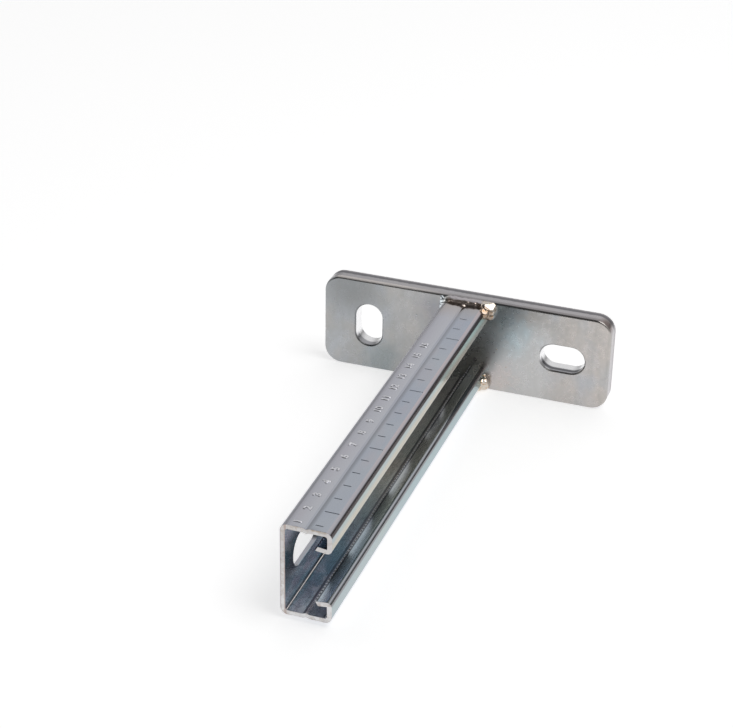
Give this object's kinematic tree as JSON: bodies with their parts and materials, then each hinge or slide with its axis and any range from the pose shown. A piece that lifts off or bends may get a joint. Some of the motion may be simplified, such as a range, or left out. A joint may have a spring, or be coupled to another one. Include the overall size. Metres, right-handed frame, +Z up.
{
  "type": "cantilever strut arm",
  "caption": "Welded wall bracket: a strut channel arm with toothed, in-turned lips and a slotted web, set square on a flat plate with crossed anchor slots.",
  "frame": {"origin": "centre of the plate's wall face", "axes": "+Y into the wall, so the arm runs out along -Y; +Z up; the channel's open face looks along +X"},
  "size_m": [0.137, 0.208, 0.045],
  "materials": {
    "zinc_strip": "bright zinc plating over cold-rolled strip",
    "zinc_plate": "bright zinc plating over hot-rolled plate, cloudy near the weld",
    "weld_metal": "zinc-plated weld bead, brown in its hollows and bright at its ends"
  },
  "bodies": {
    "root": {"channel_arm": "zinc_strip", "base_plate": "zinc_plate", "top_weld": "weld_metal", "bottom_weld": "weld_metal"}
  },
  "joints": []
}
